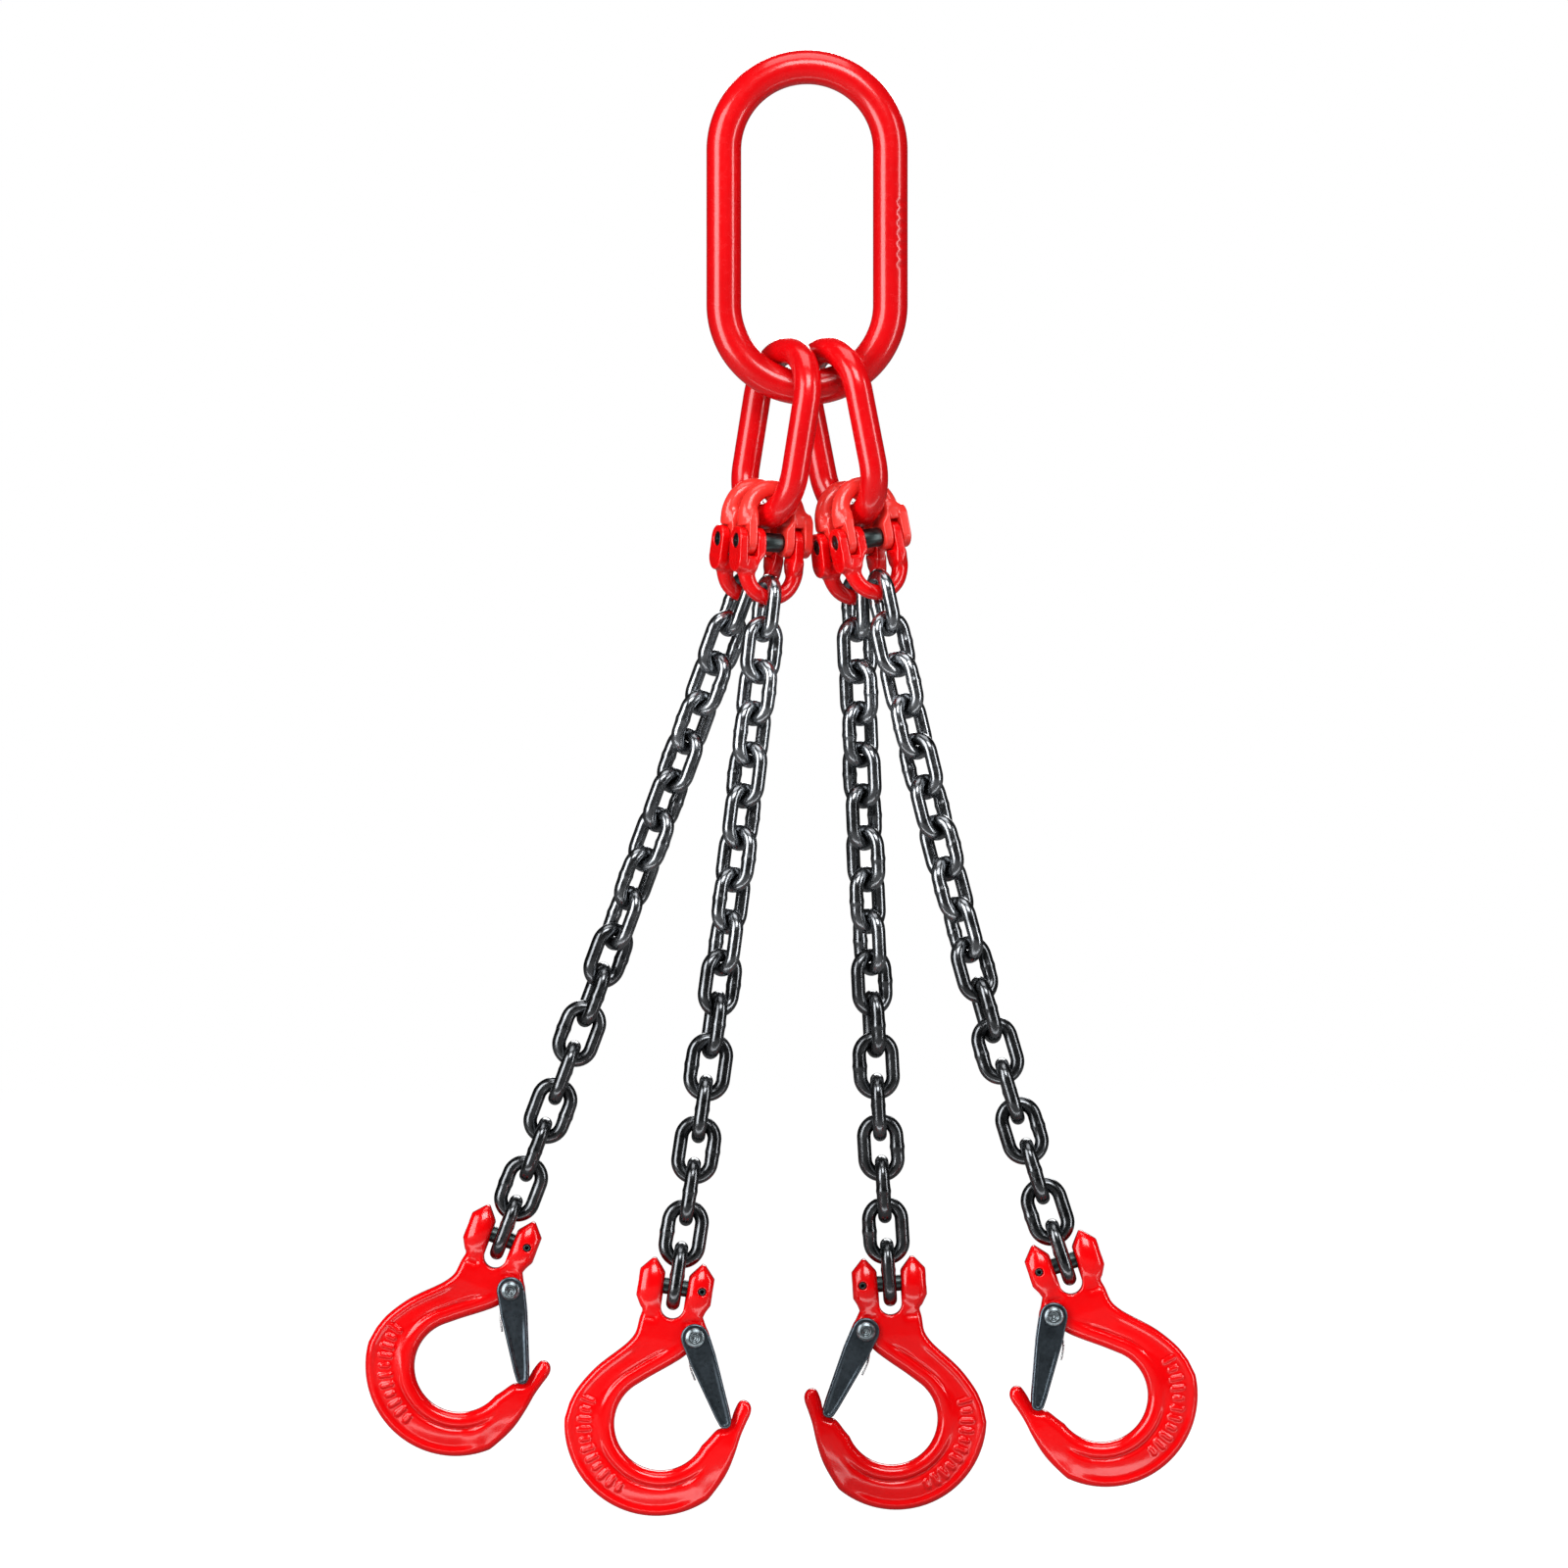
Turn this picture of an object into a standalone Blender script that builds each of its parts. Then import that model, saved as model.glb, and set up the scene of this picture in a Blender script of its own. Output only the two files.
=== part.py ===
"""Four leg chain sling: master link, two intermediate links, four legs that end in clevis sling hooks.

World frame: the origin is where a crane hook bears on the crown of the master link, +Z is up, and
the sling hangs in the XZ plane with its face towards -Y.
"""

import bmesh
import bpy
from math import atan2, cos, pi, radians, sin, sqrt
from mathutils import Matrix, Vector

MM = 0.001

# Clearance that separate pieces keep from each other, and the depth to which welded-up links meet.
GAP = 0.3 * MM
FUSE = 0.4 * MM

# A bore's cutter, long enough to pass right through any piece.
CUTTER = 60 * MM

# Master link (bar diameter, inside length and width).
MASTER_BAR = 20 * MM
MASTER_LENGTH = 165 * MM
MASTER_WIDTH = 76 * MM

# Intermediate links. They sit side by side on the master link's lower bow.
INTER_BAR = 16 * MM
INTER_LENGTH = 81 * MM
INTER_WIDTH = 40 * MM
INTER_OFFSET = 10.2 * MM
INTER_LIFT = 1.6 * MM
INTER_ROLL = 59
INTER_LEAN = {-1: 9, 1: 11}

# Connecting links: a bow from each half, closed by a load pin through interleaved lugs. The shoulder's
# two numbers are how far its near and far sides are from the pin.
CONN_UPPER_BAR = 10 * MM
CONN_LOWER_BAR = 9 * MM
CONN_UPPER_CROWN = 31 * MM
CONN_LOWER_CROWN = 31.5 * MM
CONN_BOW_RADIUS = 15 * MM
CONN_LUG_RADIUS = 8 * MM
CONN_LUG_INNER = 6.4 * MM
CONN_LUG_WIDTH = 5.2 * MM
CONN_LUG_PITCH = 5.7 * MM
CONN_SHOULDER = (9.4 * MM, 14.5 * MM)
CONN_SHOULDER_RISE = 4 * MM
CONN_SHOULDER_INSET = 0.6 * MM
CONN_BOW_FOOT = 3 * MM
CONN_PIN_RADIUS = 4 * MM
CONN_PIN_INSET = 0.3 * MM
CONN_BUSH_RADIUS = 5.5 * MM
CONN_SEAT_ANGLE = 20
CONN_SEAT_DROP = 14.9 * MM
CONN_YAW = 25
CONN_TILT = {-1: 3, 1: 9}

# Chain: 8 mm bar, 24 mm pitch. Each leg is made in four runs, so that it can bend.
CHAIN_BAR = 8 * MM
CHAIN_PITCH = 24.3 * MM
CHAIN_WIDTH = 11 * MM
RUNS = (4, 5, 4, 4)
RUN_LETTERS = "abcd"
# The legs of a pair are splayed this far apart in depth; their hooks hang straight down.
SPLAY = 4
# How far each link is twisted from the square 0 / 90 degree pattern, from the top link down.
TWIST = (25, 36) + (48,) * 6 + (34, 34, 15, 4) + (0,) * 5

# Clevis sling hook, as (across, down) from the clevis pin. Across points to the hook's opening.
HOOK_THICK = 14 * MM
EAR_THICK = 21 * MM
SLOT_WIDTH = 13 * MM
CLEVIS_PIN_RADIUS = 4.8 * MM
CLEVIS_PIN_LENGTH = 42 * MM
KEEPER_ACROSS = 15.5 * MM
KEEPER_RADIUS = 2 * MM
KEEPER_LENGTH = 20 * MM
LATCH_PIVOT = (15.4, 26.5)
LATCH_TIP = (41.6, 75.0)
LATCH_INSIDE = 17.2 * MM
LATCH_SHEET = 1.5 * MM
RIVET_RADIUS = 3 * MM
WIRE_RADIUS = 0.6 * MM

# name, side (-1 left, 1 right), depth (1 back, -1 front), lean at the top and bottom of the leg
LEGS = (
    ("leg_1", -1, 1, 19.8, 20.8),
    ("leg_2", -1, -1, 6.3, 8.8),
    ("leg_3", 1, 1, 2.0, 3.7),
    ("leg_4", 1, -1, 12.1, 18.2),
)

RED = ((0.74, 0.006, 0.010), 0.24, 0.0)
ORANGE_RED = ((0.83, 0.020, 0.013), 0.26, 0.0)
BLACK = ((0.020, 0.021, 0.023), 0.30, 0.85)
DARK_STEEL = ((0.035, 0.042, 0.045), 0.38, 0.8)
GREY_STEEL = ((0.17, 0.20, 0.24), 0.36, 0.9)
BRIGHT_STEEL = ((0.50, 0.51, 0.52), 0.30, 1.0)


# ---------------------------------------------------------------- scene helpers

def clear_scene():
    for obj in list(bpy.data.objects):
        bpy.data.objects.remove(obj, do_unlink=True)


def paint(obj, finish):
    colour, roughness, metallic = finish
    material = bpy.data.materials.new(obj.name + "_finish")
    material.use_nodes = True
    shader = material.node_tree.nodes["Principled BSDF"]
    shader.inputs["Base Color"].default_value = (*colour, 1)
    shader.inputs["Roughness"].default_value = roughness
    shader.inputs["Metallic"].default_value = metallic
    material.diffuse_color = (*colour, 1)
    obj.data.materials.append(material)


class Pivot:
    """An empty on a joint's axis. Pieces and further pivots hang from it."""

    def __init__(self, name, world, parent=None):
        self.world = world
        self.empty = bpy.data.objects.new(name + "_pivot", None)
        self.empty.empty_display_size = 10 * MM
        bpy.context.scene.collection.objects.link(self.empty)
        if parent:
            self.empty.parent = parent.empty
            world = parent.world.inverted() @ world
        self.empty.matrix_basis = world

    def add(self, name, mesh, finish, world=None):
        """Hang a mesh from this pivot. Its coordinates are those of world, or of the pivot itself."""
        obj = bpy.data.objects.new(name, mesh)
        bpy.context.scene.collection.objects.link(obj)
        obj.parent = self.empty
        if world:
            obj.matrix_basis = self.world.inverted() @ world
        if finish:
            paint(obj, finish)
        return obj

    def combine(self, obj, operation, mesh, world=None):
        """Give an object a Boolean modifier whose second operand is a hidden piece on this pivot."""
        other = self.add(obj.name + "_" + operation.lower(), mesh, None, world)
        other.hide_render = True
        other.display_type = "WIRE"
        modifier = obj.modifiers.new(operation.title(), "BOOLEAN")
        modifier.operation = operation
        modifier.solver = "EXACT"
        modifier.object = other


def place(location, lean=0, side=1, yaw=0, splay=0):
    """A frame at a location whose -Z leans outward to a side, and towards +Y by the splay."""
    return (
        Matrix.Translation(location)
        @ Matrix.Rotation(radians(-side * lean), 4, "Y")
        @ Matrix.Rotation(radians(yaw), 4, "Z")
        @ Matrix.Rotation(radians(splay), 4, "X")
    )


def down(frame):
    return frame.to_3x3() @ Vector((0, 0, -1))


def turned(frame, degrees):
    return frame @ Matrix.Rotation(radians(degrees), 4, "Z")


# ---------------------------------------------------------------- mesh helpers

def finish_mesh(bm, name):
    bmesh.ops.remove_doubles(bm, verts=bm.verts, dist=1e-7)
    bmesh.ops.recalc_face_normals(bm, faces=bm.faces)
    mesh = bpy.data.meshes.new(name)
    bm.to_mesh(mesh)
    bm.free()
    return mesh


def arc(centre, radius, start, end, steps):
    """Points of an arc in a plane, from one angle to another in degrees, both ends included."""
    angles = (radians(start + (end - start) * i / steps) for i in range(steps + 1))
    return [(centre[0] + radius * cos(a), centre[1] + radius * sin(a)) for a in angles]


def ring_normals(path, closed):
    """For each point of a flat path in XZ, the point and its normal, halfway round the corner."""
    count = len(path)
    normals = []
    for i, point in enumerate(path):
        before = path[i - 1] if closed or i else point
        after = path[(i + 1) % count] if closed or i < count - 1 else point
        into = (Vector(point) - Vector(before)).normalized()
        out = (Vector(after) - Vector(point)).normalized()
        along = (into + out).normalized()
        normals.append((point, Vector((along.y, -along.x))))
    return normals


def add_tube(bm, path, radius, sides, closed=False, matrix=Matrix()):
    """A round bar bent along a flat path in the XZ plane, with a corner of its section facing in."""
    rings = []
    for point, normal in ring_normals(path, closed):
        ring = []
        for k in range(sides):
            angle = 2 * pi * k / sides
            out = radius * cos(angle)
            corner = Vector((point[0] + normal.x * out, radius * sin(angle), point[1] + normal.y * out))
            ring.append(bm.verts.new(matrix @ corner))
        rings.append(ring)
    pairs = list(zip(rings, rings[1:]))
    if closed:
        pairs.append((rings[-1], rings[0]))
    else:
        bm.faces.new(rings[0])
        bm.faces.new(rings[-1])
    for one, two in pairs:
        for k in range(sides):
            bm.faces.new((one[k], one[(k + 1) % sides], two[(k + 1) % sides], two[k]))


def oblong(length, width, bar, steps):
    """The centreline of a link from its inside length and width and its bar, centred on (0, 0)."""
    radius = (width + bar) / 2
    rise = (length + bar) / 2 - radius
    return arc((0, rise), radius, 0, 180, steps) + arc((0, -rise), radius, 180, 360, steps)


def prism(bm, outline, depth, axis="Y", centre=0):
    """Extrude a flat outline in both directions. The outline is (x, z), or (y, z) along X."""
    low = []
    for a, b in outline:
        spot = (a, centre - depth / 2, b) if axis == "Y" else (centre - depth / 2, a, b)
        low.append(bm.verts.new(spot))
    face = bm.faces.new(low)
    moved = bmesh.ops.extrude_face_region(bm, geom=[face])["geom"]
    shift = Vector((0, depth, 0)) if axis == "Y" else Vector((depth, 0, 0))
    verts = [v for v in moved if isinstance(v, bmesh.types.BMVert)]
    bmesh.ops.translate(bm, verts=verts, vec=shift)


def rod(bm, radius, length, axis, centre, segments=12):
    """A plain round rod along X or Y."""
    turn = Matrix.Rotation(pi / 2, 4, "Y" if axis == "X" else "X")
    bmesh.ops.create_cone(
        bm,
        cap_ends=True,
        segments=segments,
        radius1=radius,
        radius2=radius,
        depth=length,
        matrix=Matrix.Translation(centre) @ turn,
    )


def lathe(profile, segments, axis="X"):
    """Turn a closed profile of (along, radius) points round an axis."""
    bm = bmesh.new()
    turn = Vector((1, 0, 0)) if axis == "X" else Vector((0, 1, 0))
    if axis == "X":
        verts = [bm.verts.new((a, 0, r)) for a, r in profile]
    else:
        verts = [bm.verts.new((0, a, r)) for a, r in profile]
    edges = [bm.edges.new((v, verts[(i + 1) % len(verts)])) for i, v in enumerate(verts)]
    geometry = verts + edges
    bmesh.ops.spin(bm, geom=geometry, axis=turn, cent=(0, 0, 0), angle=2 * pi, steps=segments)
    return finish_mesh(bm, "lathe")


# ---------------------------------------------------------------- links

def link_mesh(length, width, bar, steps, sides):
    bm = bmesh.new()
    add_tube(bm, oblong(length, width, bar, steps), bar / 2, sides, closed=True)
    return finish_mesh(bm, "link")


def build_master():
    centre = Vector((0, 0, -MASTER_LENGTH / 2))
    pivot = Pivot("master_link", Matrix.Translation(centre))
    mesh = link_mesh(MASTER_LENGTH, MASTER_WIDTH, MASTER_BAR, 12, 12)
    pivot.add("master_link", mesh, RED)
    return pivot


def inter_frame(side):
    """The frame at the crown bar of an intermediate link, where it bears on the master link."""
    bow = MASTER_WIDTH / 2
    reach = bow - INTER_BAR / 2 - INTER_LIFT
    drop = sqrt(reach**2 - INTER_OFFSET**2)
    crown = Vector((side * INTER_OFFSET, 0, -MASTER_LENGTH + bow - drop))
    return place(crown, INTER_LEAN[side], side, -INTER_ROLL)


def build_intermediate(side, master):
    name = "intermediate_link_" + ("left" if side < 0 else "right")
    crown = inter_frame(side)
    bow_centre = Matrix.Translation((0, 0, -MASTER_LENGTH + MASTER_WIDTH / 2))
    pivot = Pivot(name, bow_centre, master)
    world = crown @ Matrix.Translation((0, 0, -(INTER_LENGTH + INTER_BAR) / 2))
    pivot.add(name, link_mesh(INTER_LENGTH, INTER_WIDTH, INTER_BAR, 10, 10), RED, world)
    return pivot


# ---------------------------------------------------------------- connecting links

def connector_frame(side, depth):
    """The frame at a connecting link's load pin, from its seat on the intermediate link's lower bow."""
    radius = (INTER_WIDTH + INTER_BAR) / 2
    seat_angle = radians(CONN_SEAT_ANGLE)
    across = -depth * radius * sin(seat_angle)
    fall = INTER_LENGTH + INTER_BAR - radius + radius * cos(seat_angle)
    seat = inter_frame(side) @ Vector((across, 0, -fall))
    frame = place(seat, CONN_TILT[side], side, CONN_YAW, depth * SPLAY)
    return frame @ Matrix.Translation((0, 0, CONN_SEAT_DROP - CONN_UPPER_CROWN))


def lower_frame(side, depth, lean):
    """The connecting link's frame at its load pin, turned about the pin to face the leg's pull."""
    frame = connector_frame(side, depth)
    pull = frame.to_3x3().inverted() @ down(place((0, 0, 0), lean, side, 0, depth * SPLAY))
    return frame @ Matrix.Rotation(atan2(pull.y, -pull.z), 4, "X")


def lug_slab(bm, x_middle, towards):
    """One lug: a round eye about the pin with a shank that reaches its bow's shoulder."""
    start = 180 if towards > 0 else 0
    eye = arc((0, 0), CONN_LUG_RADIUS, start, start + 180, 6)
    top = towards * CONN_SHOULDER[1]
    outline = eye + [(eye[-1][0], top), (eye[0][0], top)]
    prism(bm, outline, CONN_LUG_WIDTH, "X", x_middle)


def shoulder_block(bm, side, towards, narrow):
    """The block that joins a bow to its lugs. It is only one lug wide behind a tongue."""
    middle = side * (CONN_LUG_INNER + CONN_LUG_PITCH + CONN_LUG_WIDTH / 2)
    width = CONN_LUG_WIDTH if narrow else 2 * CONN_LUG_PITCH + CONN_LUG_WIDTH
    near, far = (towards * z for z in CONN_SHOULDER)
    half = CONN_LUG_RADIUS - CONN_SHOULDER_INSET
    rise = towards * CONN_SHOULDER_RISE
    outline = [(-half, near), (half, near), (half, far), (half / 2, far + rise), (-half / 2, far + rise)]
    prism(bm, outline + [(-half, far)], width, "X", middle)


def bow_path(crown, towards):
    """The centreline of a half's bow, from its left shoulder over the crown to the right one."""
    radius = CONN_BOW_RADIUS
    foot = CONN_LUG_INNER + CONN_LUG_PITCH + CONN_LUG_WIDTH / 2
    top = arc((0, crown - radius), radius, 172, 8, 8)
    height = CONN_SHOULDER[0] + CONN_BOW_FOOT
    points = [(-foot, height)] + top + [(foot, height)]
    return [(x, towards * z) for x, z in points]


def connector_half(pivot, name, towards, crown, bar, finish, world=None):
    """A half: bow, shoulders and lugs, with the bow's round window carried on between the lugs.

    The fork is on the right of the upper half and on the left of the lower half.
    """
    bow = bmesh.new()
    add_tube(bow, bow_path(crown, towards), bar / 2, 8)
    obj = pivot.add(name, finish_mesh(bow, "bow"), finish, world)
    middle = CONN_LUG_INNER + CONN_LUG_WIDTH / 2
    fork_side = towards
    for part in ("shoulders", "lugs"):
        bm = bmesh.new()
        if part == "shoulders":
            shoulder_block(bm, fork_side, towards, False)
            shoulder_block(bm, -fork_side, towards, True)
        else:
            lug_slab(bm, fork_side * middle, towards)
            lug_slab(bm, fork_side * (middle + 2 * CONN_LUG_PITCH), towards)
            lug_slab(bm, -fork_side * (middle + CONN_LUG_PITCH), towards)
        pivot.combine(obj, "UNION", finish_mesh(bm, part), world)
    cutters = bmesh.new()
    rod(cutters, CONN_PIN_RADIUS + GAP, CUTTER, "X", (0, 0, 0))
    window = (0, 0, towards * (crown - CONN_BOW_RADIUS))
    rod(cutters, CONN_BOW_RADIUS - bar / 2, CUTTER, "Y", window, 24)
    pivot.combine(obj, "DIFFERENCE", finish_mesh(cutters, "cutters"), world)


def build_connector(leg, side, depth, lean, intermediate):
    """Both halves, the load pin and its bush. Returns the pivot of the lower half."""
    frame = connector_frame(side, depth)
    crown = frame @ Matrix.Translation((0, 0, CONN_UPPER_CROWN))
    upper = Pivot(leg + "_connector_upper", crown, intermediate)
    connector_half(
        upper, leg + "_connector_upper_half", 1, CONN_UPPER_CROWN, CONN_UPPER_BAR, ORANGE_RED, frame
    )
    width = CONN_LUG_INNER + 2 * CONN_LUG_PITCH + CONN_LUG_WIDTH
    pin = bmesh.new()
    rod(pin, CONN_PIN_RADIUS, 2 * (width - CONN_PIN_INSET), "X", (0, 0, 0))
    upper.add(leg + "_connector_load_pin", finish_mesh(pin, "pin"), DARK_STEEL, frame)
    half = CONN_LUG_INNER - 2 * GAP
    inner = CONN_PIN_RADIUS + GAP
    profile = ((-half, inner), (-half, CONN_BUSH_RADIUS), (half, CONN_BUSH_RADIUS), (half, inner))
    upper.add(leg + "_connector_bush", lathe(profile, 16), DARK_STEEL, frame)
    lower = Pivot(leg + "_connector_lower", lower_frame(side, depth, lean), upper)
    connector_half(lower, leg + "_connector_lower_half", -1, CONN_LOWER_CROWN, CONN_LOWER_BAR, RED)
    return lower


# ---------------------------------------------------------------- chain

def link_frames(side, depth, lean_top, lean_bottom):
    """The frame of every link of a leg at its centre, with the link's width along its X axis."""
    inside = (CHAIN_PITCH - FUSE) / 2
    to_crown = inside + CHAIN_BAR / 2
    connector = lower_frame(side, depth, lean_top)
    total = sum(RUNS)
    starts = [sum(RUNS[:i]) for i in range(len(RUNS))]
    frames = []
    for i in range(total):
        lean = lean_top + (lean_bottom - lean_top) * i / (total - 1)
        frame = place((0, 0, 0), lean, side, 0, depth * SPLAY)
        if i == 0:
            crown = first_crown(connector, down(frame))
        else:
            meet = -GAP if i in starts else FUSE
            last = frames[-1]
            crown = last.to_translation() + down(last) * (inside - CHAIN_BAR / 2 + meet)
        frame.translation = crown + down(frame) * to_crown
        frames.append(turned(frame, TWIST[i] + (90 if i % 2 == 0 else 0)))
    return frames


def first_crown(connector, direction):
    """Where the top link's crown bar lies in the lower bow, for a leg that leaves in a direction."""
    local = connector.to_3x3().inverted() @ direction
    angle = atan2(local.x, -local.z)
    reach = CONN_BOW_RADIUS - CONN_LOWER_BAR / 2 - CHAIN_BAR / 2 - 3 * GAP
    fall = CONN_LOWER_CROWN - CONN_BOW_RADIUS + reach * cos(angle)
    return connector @ Vector((reach * sin(angle), 0, -fall))


def crown_frame(frame):
    """A link's frame moved up to the middle of its crown bar."""
    return frame @ Matrix.Translation((0, 0, (CHAIN_PITCH - FUSE + CHAIN_BAR) / 2))


def build_chain(leg, frames, lower):
    """Four runs of links, each with its pivot on its top link's crown bar. Returns the last pivot."""
    path = oblong(CHAIN_PITCH - FUSE, CHAIN_WIDTH, CHAIN_BAR, 4)
    parent = lower
    first = 0
    for letter, count in zip(RUN_LETTERS, RUNS):
        name = f"{leg}_chain_{letter}"
        world = crown_frame(frames[first])
        pivot = Pivot(name, world, parent)
        halves = []
        for start in (0, 1):
            bm = bmesh.new()
            for frame in frames[first + start:first + count:2]:
                add_tube(bm, path, CHAIN_BAR / 2, 6, True, world.inverted() @ frame)
            halves.append(finish_mesh(bm, "links"))
        obj = pivot.add(name, halves[0], BLACK)
        pivot.combine(obj, "UNION", halves[1])
        parent = pivot
        first += count
    return parent


# ---------------------------------------------------------------- hook

def scaled(points):
    """Points given as (across, down) in millimetres, as (x, z) in metres."""
    return [(x * MM, -d * MM) for x, d in points]


def hook_outline():
    """The hook's face from the clevis slot round the bowl to the tip and back up to the slot."""
    half = SLOT_WIDTH / MM / 2
    left_ear = [(-half, -7), (-14.5, -15.5), (-21.5, -6), (-21.5, 6), (-18.6, 15), (-17.8, 29)]
    back = [(-27, 40.5), (-36.5, 50.5), (-45, 62.5)]
    bowl = arc((1.1, 79.2), 52.5, 190, 50, 12)
    point = [(42.5, 105), (46.3, 94), (49.3, 78.5), (53, 65), (52.5, 61), (49, 59.5)]
    throat = [(45, 62), (40, 69.5), (34.5, 76)]
    inside = arc((3.6, 78.8), 26.5, 8, 231.6, 11)
    boss = [(10.1, 39.8)] + arc(LATCH_PIVOT, 8.2, 75, -15, 4)
    right_ear = [(21.5, 9), (21.5, -6), (13.6, -15), (half, -7)]
    slot = arc((0, 11.8), half, 0, 180, 8)
    return scaled(left_ear + back + bowl + point + throat + inside + boss + right_ear + slot)


def ear_outlines():
    half = SLOT_WIDTH / MM / 2
    left = [(-half, -7), (-14.5, -15.5), (-21.5, -6), (-21.5, 6), (-19.4, 12.5), (-14, 15), (-half, 11)]
    right = [(half, -7), (half, 9), (14, 13), (20, 11.5), (21.5, 6), (21.5, -6), (13.6, -15)]
    return scaled(left), scaled(right)


def build_hook(leg, frame, parent):
    """The forged body and the pins in its ears. Returns the hook's pivot."""
    pivot = Pivot(leg + "_hook", frame, parent)
    bm = bmesh.new()
    prism(bm, hook_outline(), HOOK_THICK)
    body = pivot.add(leg + "_hook_body", finish_mesh(bm, "hook"), RED)
    bevel = body.modifiers.new("Forged edges", "BEVEL")
    bevel.width = 2.2 * MM
    bevel.segments = 1
    bevel.limit_method = "ANGLE"
    bevel.angle_limit = radians(70)
    ears = bmesh.new()
    for outline in ear_outlines():
        prism(ears, outline, EAR_THICK)
    pivot.combine(body, "UNION", finish_mesh(ears, "ears"))
    bores = bmesh.new()
    rod(bores, CLEVIS_PIN_RADIUS + GAP, CUTTER, "X", (0, 0, 0))
    rivet_at = (LATCH_PIVOT[0] * MM, 0, -LATCH_PIVOT[1] * MM)
    rod(bores, RIVET_RADIUS + GAP, CUTTER, "Y", rivet_at)
    pivot.combine(body, "DIFFERENCE", finish_mesh(bores, "bores"))
    add_pins(leg, pivot, body)
    return pivot


def add_pins(leg, pivot, body):
    """The clevis pin, and the retaining pin that crosses it in one ear."""
    shaft = bmesh.new()
    rod(shaft, CLEVIS_PIN_RADIUS, CLEVIS_PIN_LENGTH, "X", (0, 0, 0))
    clevis_pin = pivot.add(leg + "_hook_clevis_pin", finish_mesh(shaft, "clevis_pin"), DARK_STEEL)
    keeper_at = (KEEPER_ACROSS, 0, 0)
    for piece in (body, clevis_pin):
        hole = bmesh.new()
        rod(hole, KEEPER_RADIUS + GAP, CUTTER, "Y", keeper_at, 8)
        pivot.combine(piece, "DIFFERENCE", finish_mesh(hole, "keeper_bore"))
    keeper = bmesh.new()
    rod(keeper, KEEPER_RADIUS, KEEPER_LENGTH, "Y", keeper_at, 8)
    pivot.add(leg + "_hook_retaining_pin", finish_mesh(keeper, "keeper"), BLACK)


def latch_frame(hook_frame):
    """The latch's frame: its Z axis runs back from the tip to the rivet, and its X axis points out."""
    across = (LATCH_TIP[0] - LATCH_PIVOT[0]) * MM
    fall = (LATCH_TIP[1] - LATCH_PIVOT[1]) * MM
    rivet_at = Matrix.Translation((LATCH_PIVOT[0] * MM, 0, -LATCH_PIVOT[1] * MM))
    return hook_frame @ rivet_at @ Matrix.Rotation(-atan2(across, fall), 4, "Y")


def build_latch(leg, hook):
    """A sheet latch that straddles the hook, its rivet and its wire spring."""
    pivot = Pivot(leg + "_latch", latch_frame(hook.world), hook)
    hook.add(leg + "_latch_rivet", lathe(rivet_profile(), 10, "Y"), BRIGHT_STEEL, pivot.world)
    width = LATCH_INSIDE + 2 * LATCH_SHEET
    outer = bmesh.new()
    eye = arc((0, 0), 8, -10, -170, 6)
    prism(outer, scaled(eye + [(-7.6, 14), (-4.2, 48), (-3, 54), (0, 55), (3, 54), (4.2, 48)]), width)
    latch = pivot.add(leg + "_latch", finish_mesh(outer, "latch"), GREY_STEEL)
    room = bmesh.new()
    web = LATCH_SHEET / MM
    inside = [(-12, -12), (12, -12), (12, 60), (-12, 60), (-12, 48.2), (-4.2 + web, 48.2), (-7 + web, 20)]
    prism(room, scaled(inside + [(-12, 20)]), LATCH_INSIDE)
    pivot.combine(latch, "DIFFERENCE", finish_mesh(room, "room"))
    eye_hole = bmesh.new()
    rod(eye_hole, RIVET_RADIUS + GAP, CUTTER, "Y", (0, 0, 0))
    pivot.combine(latch, "DIFFERENCE", finish_mesh(eye_hole, "eye"))
    pivot.add(leg + "_latch_spring", spring_mesh(), BRIGHT_STEEL)


def rivet_profile():
    """Half the section of the latch rivet: a shank with a domed head at each end."""
    under = LATCH_INSIDE / 2 + LATCH_SHEET + GAP
    head = ((under, 5.6 * MM), (under + 1.2 * MM, 4.4 * MM))
    half = [(under, RIVET_RADIUS), *head, (under + 1.8 * MM, 0.4 * MM)]
    return half + [(-a, r) for a, r in reversed(half)]


def spring_mesh():
    """A bent wire: most of a turn round the rivet, then a leg that bears on the latch's web."""
    radius = 5 * MM
    bm = bmesh.new()
    turn = arc((0, 0), radius, 130, -150, 12)
    leg = [(-8.6 * MM, -17 * MM), (-8.4 * MM, -24 * MM)]
    layer = Matrix.Translation((0, (HOOK_THICK + LATCH_INSIDE) / 4, 0))
    add_tube(bm, turn + leg, WIRE_RADIUS, 6, False, layer)
    return finish_mesh(bm, "spring")


# ---------------------------------------------------------------- assembly

def build_leg(name, side, depth, lean_top, lean_bottom, intermediate):
    lower = build_connector(name, side, depth, lean_top, intermediate)
    frames = link_frames(side, depth, lean_top, lean_bottom)
    last_run = build_chain(name, frames, lower)
    seat = (CHAIN_PITCH - FUSE) / 2 - CLEVIS_PIN_RADIUS - 2 * GAP
    hook_at = frames[-1].to_translation() + down(frames[-1]) * seat
    hook_frame = place(hook_at, lean_bottom, side)
    if side > 0:
        hook_frame = turned(hook_frame, 180)
    build_latch(name, build_hook(name, hook_frame, last_run))


def main():
    clear_scene()
    master = build_master()
    intermediates = {side: build_intermediate(side, master) for side in (-1, 1)}
    for name, side, depth, lean_top, lean_bottom in LEGS:
        build_leg(name, side, depth, lean_top, lean_bottom, intermediates[side])


main()
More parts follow.
